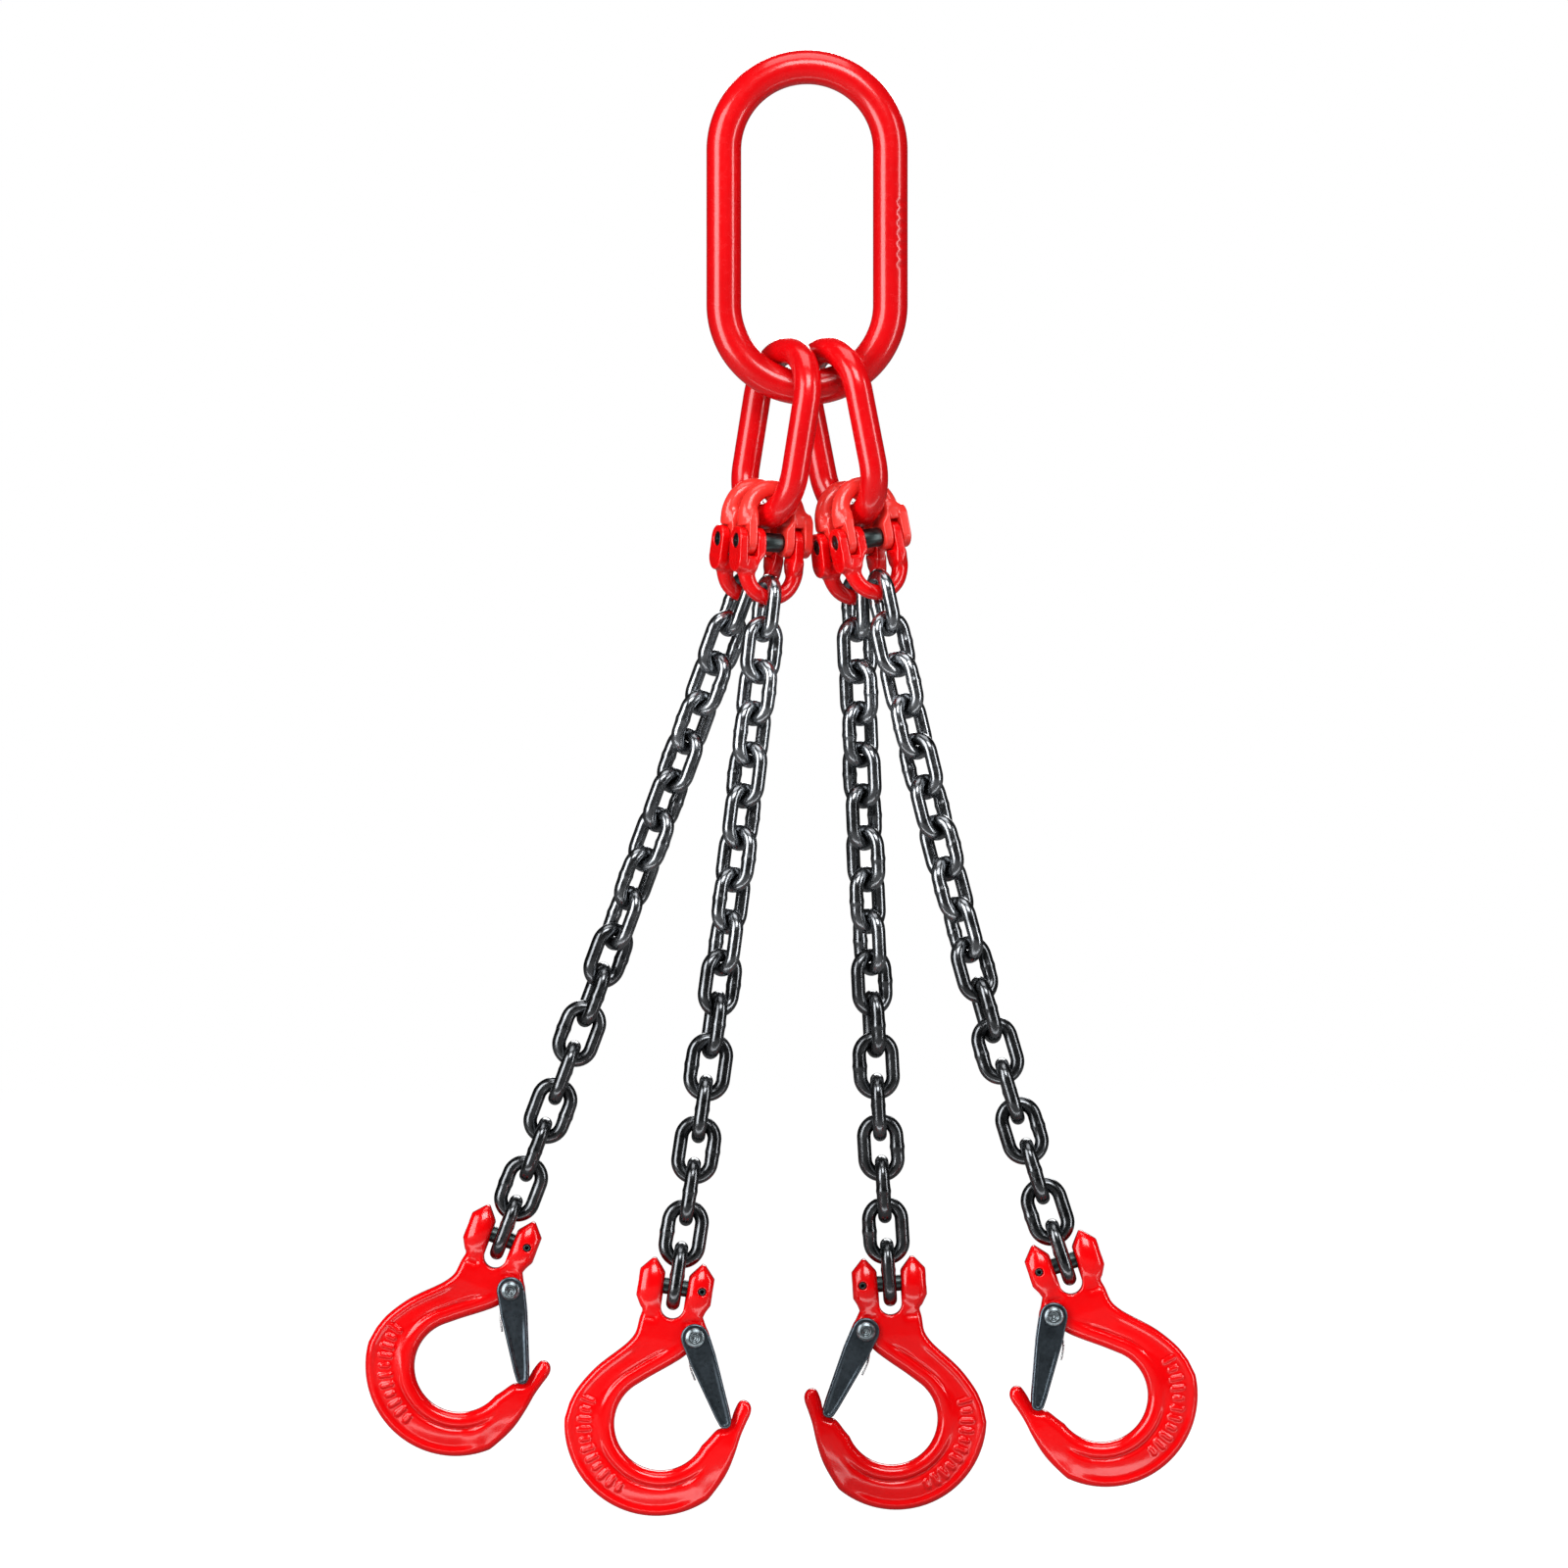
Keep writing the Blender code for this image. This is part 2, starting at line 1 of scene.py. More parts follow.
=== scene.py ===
"""Looks for the four leg chain sling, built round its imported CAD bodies.

Every piece sits in a frame worked out by the same formulas as the CAD part. Forged and pressed
shapes are distance fields in millimetres, meshed by surface nets, so that their edges and fillets
are soft. In those fields z points up and d, the depth below the origin, points down.
"""

from math import atan2, cos, exp, pi, radians, sin, sqrt

import bmesh
import bpy
import numpy as np
from mathutils import Matrix, Vector


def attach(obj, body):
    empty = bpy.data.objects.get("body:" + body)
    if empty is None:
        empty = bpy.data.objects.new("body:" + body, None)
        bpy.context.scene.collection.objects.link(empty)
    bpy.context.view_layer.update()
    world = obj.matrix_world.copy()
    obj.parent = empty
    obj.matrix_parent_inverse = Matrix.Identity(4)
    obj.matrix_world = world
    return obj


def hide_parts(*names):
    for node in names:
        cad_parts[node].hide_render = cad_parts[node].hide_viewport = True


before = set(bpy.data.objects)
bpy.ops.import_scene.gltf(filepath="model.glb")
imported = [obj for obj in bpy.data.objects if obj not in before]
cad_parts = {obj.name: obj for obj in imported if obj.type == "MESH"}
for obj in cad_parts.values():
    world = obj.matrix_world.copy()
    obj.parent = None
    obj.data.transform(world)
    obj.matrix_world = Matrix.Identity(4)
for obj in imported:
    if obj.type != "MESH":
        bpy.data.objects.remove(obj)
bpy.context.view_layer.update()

MM = 0.001

# ---------------------------------------------------------------- sizes, as in the CAD part
# Sizes with MM are in metres, the rest in millimetres and degrees.

GAP = 0.3 * MM      # left between links that turn on each other
FUSE = 0.4 * MM     # by which the links of one run overlap
BORE_CLEARANCE = 0.3

MASTER_BAR = 20 * MM
MASTER_LENGTH = 165 * MM
MASTER_WIDTH = 76 * MM

INTER_BAR = 16 * MM
INTER_LENGTH = 81 * MM
INTER_WIDTH = 40 * MM
INTER_OFFSET = 10.2 * MM
INTER_LIFT = 1.6 * MM
INTER_ROLL = 59
INTER_LEAN = {-1: 9, 1: 11}

CONN_UPPER_BAR = 10 * MM
CONN_LOWER_BAR = 9 * MM
CONN_UPPER_CROWN = 31 * MM
CONN_LOWER_CROWN = 31.5 * MM
CONN_BOW_RADIUS = 15 * MM
CONN_LUG_INNER = 6.4
CONN_LUG_WIDTH = 5.2
CONN_LUG_PITCH = 5.7
CONN_LUG_RADIUS = 8
CONN_PIN_RADIUS = 4
CONN_BUSH_RADIUS = 5.5
CONN_SEAT_ANGLE = 20
CONN_SEAT_DROP = 14.9 * MM
CONN_YAW = 25
CONN_TILT = {-1: 3, 1: 9}

CHAIN_BAR = 8 * MM
CHAIN_PITCH = 24.3 * MM
CHAIN_WIDTH = 11 * MM
RUNS = (4, 5, 4, 4)
RUN_LETTERS = "abcd"
SPLAY = 4           # each leg's lean in depth
TWIST = (25, 36) + (48,) * 6 + (34, 34, 15, 4) + (0,) * 5   # each link's turn about its leg

CLEVIS_PIN_RADIUS = 4.8
CLEVIS_PIN_LENGTH = 42
KEEPER_ACROSS = 15.5
KEEPER_RADIUS = 2
LATCH_PIVOT = (15.4, 26.5)
LATCH_TIP = (41.6, 75.0)
LATCH_INSIDE = 17.2
LATCH_SHEET = 1.5
RIVET_RADIUS = 3
HOOK_THICK = 14
WIRE_RADIUS = 0.6

# Name, side (-1 left, 1 right), depth (1 back, -1 front), and lean at the top and at the hook
LEGS = (
    ("leg_1", -1, 1, 19.8, 20.8),
    ("leg_2", -1, -1, 6.3, 8.8),
    ("leg_3", 1, 1, 2.0, 3.7),
    ("leg_4", 1, -1, 12.1, 18.2),
)


# ---------------------------------------------------------------- frames, as in the CAD part

def place(location, lean=0, side=1, yaw=0, splay=0):
    """A frame that leans out to its side, turned about its own axis and splayed in depth."""
    return (
        Matrix.Translation(location)
        @ Matrix.Rotation(radians(-side * lean), 4, "Y")
        @ Matrix.Rotation(radians(yaw), 4, "Z")
        @ Matrix.Rotation(radians(splay), 4, "X")
    )


def down(where):
    """The direction in which a frame hangs."""
    return where.to_3x3() @ Vector((0, 0, -1))


def inter_frame(side):
    """An intermediate link's crown, where it hangs on the master link's lower bow."""
    bow = MASTER_WIDTH / 2
    reach = bow - INTER_BAR / 2 - INTER_LIFT
    drop = sqrt(reach**2 - INTER_OFFSET**2)
    crown = Vector((side * INTER_OFFSET, 0, -MASTER_LENGTH + bow - drop))
    return place(crown, INTER_LEAN[side], side, -INTER_ROLL)


def connector_frame(side, depth):
    """A connecting link's pin, with its upper half seated on the intermediate link's lower bow."""
    radius = (INTER_WIDTH + INTER_BAR) / 2
    seat_angle = radians(CONN_SEAT_ANGLE)
    across = -depth * radius * sin(seat_angle)
    fall = INTER_LENGTH + INTER_BAR - radius + radius * cos(seat_angle)
    seat = inter_frame(side) @ Vector((across, 0, -fall))
    where = place(seat, CONN_TILT[side], side, CONN_YAW, depth * SPLAY)
    return where @ Matrix.Translation((0, 0, CONN_SEAT_DROP - CONN_UPPER_CROWN))


def lower_frame(side, depth, lean):
    """The same pin for the lower half, which folds about it to follow its leg."""
    where = connector_frame(side, depth)
    pull = where.to_3x3().inverted() @ down(place((0, 0, 0), lean, side, 0, depth * SPLAY))
    return where @ Matrix.Rotation(atan2(pull.y, -pull.z), 4, "X")


def first_crown(connector, direction):
    """Where the first chain link's crown lies in the connecting link's bow."""
    local = connector.to_3x3().inverted() @ direction
    angle = atan2(local.x, -local.z)
    reach = CONN_BOW_RADIUS - CONN_LOWER_BAR / 2 - CHAIN_BAR / 2 - 3 * GAP
    fall = CONN_LOWER_CROWN - CONN_BOW_RADIUS + reach * cos(angle)
    return connector @ Vector((reach * sin(angle), 0, -fall))


def link_frames(side, depth, lean_top, lean_bottom):
    """The middle of each chain link down a leg."""
    inside = (CHAIN_PITCH - FUSE) / 2
    to_crown = inside + CHAIN_BAR / 2
    connector = lower_frame(side, depth, lean_top)
    total = sum(RUNS)
    starts = [sum(RUNS[:i]) for i in range(len(RUNS))]
    frames = []
    for i in range(total):
        lean = lean_top + (lean_bottom - lean_top) * i / (total - 1)
        where = place((0, 0, 0), lean, side, 0, depth * SPLAY)
        if i == 0:
            crown = first_crown(connector, down(where))
        else:
            meet = -GAP if i in starts else FUSE
            last = frames[-1]
            crown = last.to_translation() + down(last) * (inside - CHAIN_BAR / 2 + meet)
        where.translation = crown + down(where) * to_crown
        turn = radians(TWIST[i] + (90 if i % 2 == 0 else 0))
        frames.append(where @ Matrix.Rotation(turn, 4, "Z"))
    return frames


def hook_frame(last_link, side, lean_bottom):
    """The clevis pin of the hook in the last link. Hooks on the right have their tips turned in."""
    seat = (CHAIN_PITCH - FUSE) / 2 - CLEVIS_PIN_RADIUS * MM - 2 * GAP
    where = place(last_link.to_translation() + down(last_link) * seat, lean_bottom, side)
    return where @ Matrix.Rotation(pi, 4, "Z") if side > 0 else where


def latch_frame(hook):
    """The latch's rivet, with the latch along -Z towards the hook's tip."""
    across = LATCH_TIP[0] - LATCH_PIVOT[0]
    fall = LATCH_TIP[1] - LATCH_PIVOT[1]
    rivet = Matrix.Translation((LATCH_PIVOT[0] * MM, 0, -LATCH_PIVOT[1] * MM))
    return hook @ rivet @ Matrix.Rotation(-atan2(across, fall), 4, "Y")


# ---------------------------------------------------------------- distance fields (millimetres)

NO_LENGTH = 1e-12       # squared; shorter edges of an outline are skipped


def arc(centre, radius, start, end, steps):
    """Points round a centre from one angle to another, in degrees."""
    angles = (radians(start + (end - start) * i / steps) for i in range(steps + 1))
    return [(centre[0] + radius * cos(a), centre[1] + radius * sin(a)) for a in angles]


def catmull_rom(p, q, r, s, t):
    """The value at a share t of the way from q to r, on a smooth curve that also knows p and s."""
    square = 2 * p - 5 * q + 4 * r - s
    cube = 3 * q - p - 3 * r + s
    return 0.5 * (2 * q + (r - p) * t + square * t * t + cube * t**3)


def curve_through(points, steps=6):
    """A smooth line through points that keeps its first and last one."""
    ends = [points[0]] + list(points) + [points[-1]]
    line = []
    for a, b, c, d in zip(ends, ends[1:], ends[2:], ends[3:]):
        for i in range(steps):
            t = i / steps
            line.append(tuple(catmull_rom(*values, t) for values in zip(a, b, c, d)))
    return line + [points[-1]]


def polygon(x, z, points):
    """Signed distance to a closed outline, negative inside."""
    x, z = np.broadcast_arrays(x, z)
    best = np.full(x.shape, np.inf)
    inside = np.zeros(x.shape, bool)
    for (ax, az), (bx, bz) in zip(points, points[1:] + points[:1]):
        ex, ez = bx - ax, bz - az
        length = ex * ex + ez * ez
        if length < NO_LENGTH:
            continue
        wx, wz = x - ax, z - az
        t = np.clip((wx * ex + wz * ez) / length, 0, 1)
        best = np.minimum(best, (wx - ex * t) ** 2 + (wz - ez * t) ** 2)
        if ez:
            inside ^= ((az > z) != (bz > z)) & (wx < ex * wz / ez)
    return np.where(inside, -1, 1) * np.sqrt(best)


def polyline(x, z, points):
    """Distance to an open line."""
    x, z = np.broadcast_arrays(x, z)
    best = np.full(x.shape, np.inf)
    for (ax, az), (bx, bz) in zip(points, points[1:]):
        ex, ez = bx - ax, bz - az
        wx, wz = x - ax, z - az
        t = np.clip((wx * ex + wz * ez) / max(ex * ex + ez * ez, NO_LENGTH), 0, 1)
        best = np.minimum(best, (wx - ex * t) ** 2 + (wz - ez * t) ** 2)
    return np.sqrt(best)


def join(a, b, fillet):
    """What is in a or in b, with a fillet where they meet."""
    meet = np.maximum(fillet - np.abs(a - b), 0) / fillet
    return np.minimum(a, b) - meet * meet * fillet / 4


def cut(a, b, fillet):
    """What is in a and outside b, with the edge between them rounded."""
    return -join(-a, b, fillet)


def drilled(solid, off_axis, radius, edge):
    """A solid with a running hole for a pin."""
    return cut(solid, off_axis - radius - BORE_CLEARANCE, edge)


def rounded(a, b, radius):
    """What is in both a and b, with the edge where they meet rounded."""
    u, v = a + radius, b + radius
    return np.hypot(np.maximum(u, 0), np.maximum(v, 0)) + np.minimum(np.maximum(u, v), 0) - radius


def ramp(value, low, high):
    """A smooth step from 0 at low to 1 at high."""
    t = np.clip((value - low) / (high - low), 0, 1)
    return t * t * (3 - 2 * t)


def bell(value, middle, width):
    """1 at the middle, falling smoothly to 0 on both sides."""
    return np.exp(-(((value - middle) / width) ** 2))


def edge_crossings(value, axis):
    """Which of the grid's edges along an axis the surface crosses, how far along, and which way."""
    low = np.take(value, range(value.shape[axis] - 1), axis)
    high = np.take(value, range(1, value.shape[axis]), axis)
    crossed = (low < 0) != (high < 0)
    share = np.where(crossed, low / np.where(crossed, low - high, 1), 0)
    return crossed, share, low < 0


def surface(name, field, low, high, step, polish=3):
    """The zero surface of a field as a mesh in metres: a vertex in each grid cell it crosses."""
    axes = [np.arange(a, b + step, step) for a, b in zip(low, high)]
    value = field(axes[0][:, None, None], axes[1][None, :, None], axes[2][None, None, :])
    shape = np.array(value.shape)
    total = np.zeros((*(shape - 1), 3))
    count = np.zeros(shape - 1)
    crossings = []
    for axis in range(3):
        crossed, share, starts_inside = edge_crossings(value, axis)
        others = [a for a in range(3) if a != axis]
        crossings.append((crossed, starts_inside, others))
        grid = np.meshgrid(*[np.arange(n) for n in crossed.shape], indexing="ij")
        spot = np.stack(grid, -1).astype(float)
        spot[..., axis] += share
        for da in (0, 1):
            for db in (0, 1):
                source = [slice(None)] * 3
                target = [slice(None)] * 3
                for a, d in zip(others, (da, db)):
                    source[a] = slice(1, None) if d else slice(0, -1)
                source, target = tuple(source), tuple(target)
                inner = crossed[source]
                total[target] += np.where(inner[..., None], spot[source], 0)
                count[target] += inner
    used = count > 0
    index = np.full(shape - 1, -1)
    index[used] = np.arange(used.sum())
    points = total[used] / count[used][:, None] * step + np.array([a[0] for a in axes])
    for _ in range(polish):
        points = pulled_to_surface(points, field, step)
    quads = []
    for axis, (crossed, starts_inside, (p, q)) in enumerate(crossings):
        spots = np.argwhere(crossed)
        sides = spots[:, (p, q)]
        spots = spots[((sides > 0) & (sides < shape[[p, q]] - 1)).all(1)]
        corners = []
        for dp, dq in ((1, 1), (0, 1), (0, 0), (1, 0)):
            spot = spots.copy()
            spot[:, p] -= dp
            spot[:, q] -= dq
            corners.append(index[tuple(spot.T)])
        quad = np.stack(corners, 1)
        flip = starts_inside[tuple(spots.T)] == (axis == 1)
        quad[flip] = quad[flip][:, ::-1]
        quads.append(quad)
    mesh = bpy.data.meshes.new(name)
    mesh.from_pydata((points * MM).tolist(), [], np.concatenate(quads).tolist())
    mesh.validate()
    mesh.polygons.foreach_set("use_smooth", [True] * len(mesh.polygons))
    return mesh


def pulled_to_surface(points, field, step):
    """The points moved along the field's slope towards its zero, at most half a grid step."""
    x, y, z = points.T
    value = field(x, y, z)
    nudge = step * 0.1
    slope = np.stack([
        field(x + nudge, y, z) - field(x - nudge, y, z),
        field(x, y + nudge, z) - field(x, y - nudge, z),
        field(x, y, z + nudge) - field(x, y, z - nudge),
    ], 1) / (2 * nudge)
    least_slope = 0.2
    steep = np.maximum((slope**2).sum(1), least_slope)
    move = slope * (value / steep)[:, None]
    far = np.maximum(np.linalg.norm(move, axis=1) / (0.5 * step), 1)
    return points - move / far[:, None]


# ---------------------------------------------------------------- the hook's shape
# Outlines are (x, d) points. The clevis pin is at the origin and the tip is on the right.

BOWL = (3.6, 78.8)
BOWL_RADIUS = 26.5
OUTER_BOWL = (1.1, 79.2)
OUTER_BOWL_RADIUS = 52.5
BACK = curve_through([
    (-17.2, 6), (-16.5, 14.2), (-17.6, 20.5), (-18.6, 29), (-22, 35.2), (-27.2, 41.0),
    (-32.6, 46.4), (-38, 52.4), (-43.2, 59.8), (-47.3, 67.2), (-49.9, 74.8),
])
TIP_BACK = curve_through([
    (38.8, 114.5), (43.2, 106), (46.2, 98), (48.4, 88), (49.9, 78.5), (51.8, 71), (53.4, 65.5),
    (53.4, 61.8), (51.6, 59.0), (48.8, 58.0), (46.2, 59.2), (44.8, 62.2),
])
HOOK_OUTER = (
    [(-6.5, 2), (-17.2, 2)]
    + BACK
    + arc(OUTER_BOWL, OUTER_BOWL_RADIUS, 175, 47, 40)
    + TIP_BACK
    + [(30, 45), (24.6, 30), (23.4, 24), (20.6, 19.5), (18.2, 15), (18.4, 6), (18.4, 2)]
)
THROAT = curve_through([
    (44.8, 62.2), (43.8, 66), (43.2, 70), (42.0, 73.6), (39.2, 75.4), (36.4, 76.8), (34.2, 79.4),
    (32.0, 82.8), (29.9, 85.8),
])
UNDERSIDE = curve_through([
    (-12.3, 57.6), (-5.6, 52.0), (3.4, 45.0), (9.6, 39.8), (12.8, 36.4), (15.0, 34.9),
])
HOOK_INNER = (
    [(44, 44), (45.5, 56)]
    + THROAT
    + arc(BOWL, BOWL_RADIUS, 19, 231.6, 40)
    + UNDERSIDE
    + arc(LATCH_PIVOT, 8.2, 88, -20, 8)
    + [(24.4, 22), (40, 18)]
)
EAR = [
    (6.5, -7), (13.4, -15.4), (15.2, -14.8), (21.5, -7.6), (21.5, 7.4), (18.2, 13.4), (14, 16.5),
    (6.5, 17),
]
EAR_HALF_THICKNESS = 10.5
CHAIN_SLOT_RADIUS = 6.5
CHAIN_SLOT_BOTTOM = 11.8
MARK_ANGLES = range(112, 200, 8)
MARK_REACH = 41.2

# How far each feature goes in or out from the hook's flat flank
PRONG_DEPTH = 1.2
WEB_DEPTH = 1.3
GROOVE_DEPTH = 0.9
MARK_HEIGHT = 0.9
CROWN_DEPTH = 2.6
NECK_DEPTH = 0.9


def raised_marks(x, d):
    """Short raised bars across the bowl's flank, in a row round its outer part."""
    height = np.zeros(np.broadcast(x, d).shape)
    for i, degrees in enumerate(MARK_ANGLES):
        angle = radians(degrees)
        along_x, along_d = cos(angle), sin(angle)
        u = (x - OUTER_BOWL[0]) * along_x + (d - OUTER_BOWL[1]) * along_d - MARK_REACH
        v = -(x - OUTER_BOWL[0]) * along_d + (d - OUTER_BOWL[1]) * along_x
        half_length = 2.8 if i % 3 else 1.8
        off = np.hypot(np.maximum(np.abs(u) - half_length, 0), v)
        height = np.maximum(height, 1 - ramp(off, 0.8, 1.8))
    return height


def hook_half_thickness(x, d, from_outer, from_inner):
    """Half the forging's thickness, from the distances to its outer and inner outlines."""
    half = HOOK_THICK / 2 - PRONG_DEPTH * ramp(x, 30, 50) * ramp(-d, -100, -62)
    # Beside the marks the inner rim is wider and the groove fades out.
    waist = ramp(-x, 14, 28) * bell(d, 80, 17)
    web = ramp(from_inner, 7.4 - waist, 9.4 + 5 * waist) * ramp(from_outer, 2.4, 6.5)
    web = web * ramp(d, 30, 44) * (1 - ramp(x, 18, 30))
    groove = bell(from_inner, 9.2, 1.4) * ramp(from_outer, 5, 8) * ramp(d, 32, 42)
    groove = groove * (1 - ramp(x, 26, 36)) * (1 - waist)
    half = half - WEB_DEPTH * web - GROOVE_DEPTH * groove + MARK_HEIGHT * raised_marks(x, d)
    half = half - CROWN_DEPTH * (1 - ramp(from_outer, 0, 15)) * ramp(d, 84, 108)
    return half - NECK_DEPTH * bell(d, 18.5, 2.2) * ramp(np.abs(x), 6, 10)


def hook_field(x, y, z):
    d = -z
    outer = polygon(x, d, HOOK_OUTER)
    inner = polygon(x, d, HOOK_INNER)
    flank = np.abs(y) - hook_half_thickness(x, d, -outer, inner)
    body = np.maximum(rounded(flank, outer, 3.6), rounded(flank, -inner, 5.4))
    side = np.abs(x)
    ear_half = EAR_HALF_THICKNESS - 0.021 * (d - 1) ** 2 - 0.045 * (side - 13.5) ** 2
    ear = rounded(polygon(side, d, EAR), np.abs(y) - ear_half, 2.4)
    solid = join(body, ear, 1.6)
    slot = np.hypot(x, np.maximum(d - CHAIN_SLOT_BOTTOM, 0)) - CHAIN_SLOT_RADIUS
    solid = cut(solid, slot, 1.4)
    solid = drilled(solid, np.hypot(y, z), CLEVIS_PIN_RADIUS, 0.8)
    solid = drilled(solid, np.hypot(x - KEEPER_ACROSS, d), KEEPER_RADIUS, 0.9)
    return drilled(solid, np.hypot(x - LATCH_PIVOT[0], d - LATCH_PIVOT[1]), RIVET_RADIUS, 0.6)


# ---------------------------------------------------------------- the connecting link's halves

LUG_AT = [CONN_LUG_INNER + CONN_LUG_WIDTH / 2 + k * CONN_LUG_PITCH for k in range(3)]
CONN_FOOT = CONN_LUG_INNER + CONN_LUG_PITCH + CONN_LUG_WIDTH / 2
FORK_HALF = CONN_LUG_PITCH + CONN_LUG_WIDTH / 2
TONGUE_HALF = 3.4
SHOULDER_LEVEL = 13.2
LUG_GAP = 0.1
LUG_ROOM = 8.7


def shoulder(x, y, z, side, half):
    """The block at the bow's foot that the lugs stand on. It narrows and leans towards the bow."""
    above = np.maximum(z - 12, 0)
    middle = side * CONN_FOOT
    lean = side * 0.22 * above
    width = np.abs(x - middle + lean) - half + 0.16 * above
    block = rounded(width, np.abs(z - SHOULDER_LEVEL) - 4.2, 2.2)
    return rounded(block, np.abs(y) - 7.4 + 0.12 * np.maximum(z - 11, 0), 2.4)


def connector_field(crown, bar):
    """A half whose bow is above the pin, with its fork at +X and its tongue at -X."""
    radius = CONN_BOW_RADIUS / MM
    crown, bar = crown / MM, bar / MM
    centre = crown - radius
    bow = [(-CONN_FOOT, 10.5)] + arc((0, centre), radius, 180, 0, 24) + [(CONN_FOOT, 10.5)]
    tongue = -LUG_AT[1]

    def field(x, y, z):
        line = polyline(x, z, bow)
        swell = 0.8 * (1 - ramp(z, 11, crown - 6))
        solid = np.hypot(line * 0.94, y) - bar / 2 - swell
        for side, half in ((1, FORK_HALF), (-1, TONGUE_HALF)):
            solid = join(solid, shoulder(x, y, z, side, half), 3.5)
        for middle in (LUG_AT[0], LUG_AT[2], tongue):
            eye = np.hypot(y, np.where(z > 0, np.maximum(z - 10, 0), z)) - CONN_LUG_RADIUS
            lug = rounded(eye, np.abs(x - middle) - CONN_LUG_WIDTH / 2, 0.9)
            solid = join(solid, lug, 1.2)
        for middle in (tongue - CONN_LUG_PITCH, tongue + CONN_LUG_PITCH, -tongue):
            across = np.abs(x - middle) - CONN_LUG_WIDTH / 2 - LUG_GAP
            room = np.maximum(across, np.abs(z) - LUG_ROOM)
            solid = cut(solid, np.maximum(room, np.abs(y) - 12), 0.5)
        window = np.hypot(x, z - centre) - (radius - bar / 2)
        return drilled(cut(solid, window, 2.2), np.hypot(y, z), CONN_PIN_RADIUS, 0.6)

    return field


LATCH_OUTLINE = [(-8, 0)] + arc((0, 0), 8, 180, 0, 24)[1:] + [
    (7.6, -14), (4.4, -47), (3.5, -52.6), (2.2, -54.4), (0, -55),
    (-2.2, -54.4), (-3.5, -52.6), (-4.4, -47), (-7.6, -14),
]


def latch_field(x, y, z):
    """The sheet latch: two cheeks joined by a web, with its eye at the origin and its tip below."""
    shape = polygon(x, z, LATCH_OUTLINE)
    dish = 0.45 * ramp(-shape, 1.2, 3.0) * ramp(-z, 8, 26)
    outer = rounded(shape, np.abs(y) - LATCH_INSIDE / 2 - LATCH_SHEET + dish, 1.1)
    web = np.maximum(np.maximum(-shape - LATCH_SHEET, x + 1), np.abs(z + 34.1) - 14.1)
    room = cut(np.abs(y) - LATCH_INSIDE / 2 + dish, web, 1.0)
    return drilled(cut(outer, room, 0.5), np.hypot(x, z), RIVET_RADIUS, 0.4)


# ---------------------------------------------------------------- meshes

MERGE_DISTANCE = 1e-7


def finish_mesh(bm, name):
    """A smooth shaded mesh with its faces outward."""
    bmesh.ops.remove_doubles(bm, verts=bm.verts, dist=MERGE_DISTANCE)
    bmesh.ops.recalc_face_normals(bm, faces=bm.faces)
    mesh = bpy.data.meshes.new(name)
    bm.to_mesh(mesh)
    bm.free()
    mesh.polygons.foreach_set("use_smooth", [True] * len(mesh.polygons))
    return mesh


def oblong(length, width, bar, bend_steps, side_steps):
    """The centreline of a link, with points along its straight sides too."""
    radius = (width + bar) / 2
    rise = (length + bar) / 2 - radius
    line = arc((0, rise), radius, 0, 180, bend_steps)
    line += [(-radius, rise - 2 * rise * i / side_steps) for i in range(1, side_steps)]
    line += arc((0, -rise), radius, 180, 360, bend_steps)
    line += [(radius, -rise + 2 * rise * i / side_steps) for i in range(1, side_steps)]
    return line


def add_tube(bm, path, radius, sides, closed=False, matrix=Matrix(), swell=None):
    """A bar bent along a flat path in XZ. swell(point) gives a factor on its radius."""
    count = len(path)
    rings = []
    for i, point in enumerate(path):
        before = path[i - 1] if closed or i else point
        after = path[(i + 1) % count] if closed or i < count - 1 else point
        along = (Vector(after) - Vector(before)).normalized()
        normal = Vector((along.y, -along.x))
        here = radius * (swell(point) if swell else 1)
        ring = []
        for k in range(sides):
            angle = 2 * pi * k / sides
            out = here * cos(angle)
            x, z = point[0] + normal.x * out, point[1] + normal.y * out
            ring.append(bm.verts.new(matrix @ Vector((x, here * sin(angle), z))))
        rings.append(ring)
    pairs = list(zip(rings, rings[1:]))
    if closed:
        pairs.append((rings[-1], rings[0]))
    else:
        bm.faces.new(rings[0])
        bm.faces.new(rings[-1])
    for one, two in pairs:
        for k in range(sides):
            bm.faces.new((one[k], one[(k + 1) % sides], two[(k + 1) % sides], two[k]))


def lathe(name, profile, segments, axis="X"):
    """Turn a closed profile of (along, radius) points, in millimetres, round an axis."""
    bm = bmesh.new()
    rings = []
    for along, radius in profile:
        ring = []
        for k in range(segments):
            a = 2 * pi * k / segments
            u, v = radius * cos(a) * MM, radius * sin(a) * MM
            spot = (along * MM, u, v) if axis == "X" else (u, along * MM, v)
            ring.append(bm.verts.new(spot))
        rings.append(ring)
    for one, two in zip(rings, rings[1:] + rings[:1]):
        for k in range(segments):
            bm.faces.new((one[k], one[(k + 1) % segments], two[(k + 1) % segments], two[k]))
    return finish_mesh(bm, name)


def weld(point):
    """The upset of a butt weld in the middle of a link's side at +X."""
    x, z = point
    if x < 0:
        return 1
    return 1 + 0.075 * exp(-((z / (1.5 * MM)) ** 2)) + 0.03 * exp(-((z / (4 * MM)) ** 2))


# ---------------------------------------------------------------- adding pieces

def add_piece(name, mesh, where, body, node, material):
    """Puts a copy of a mesh at its frame, in place of a CAD node."""
    mesh = mesh.copy()
    mesh.name = name
    mesh.transform(where)
    mesh.materials.append(material)
    obj = bpy.data.objects.new(name, mesh)
    bpy.context.scene.collection.objects.link(obj)
    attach(obj, body)
    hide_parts(node)


# ---------------------------------------------------------------- materials

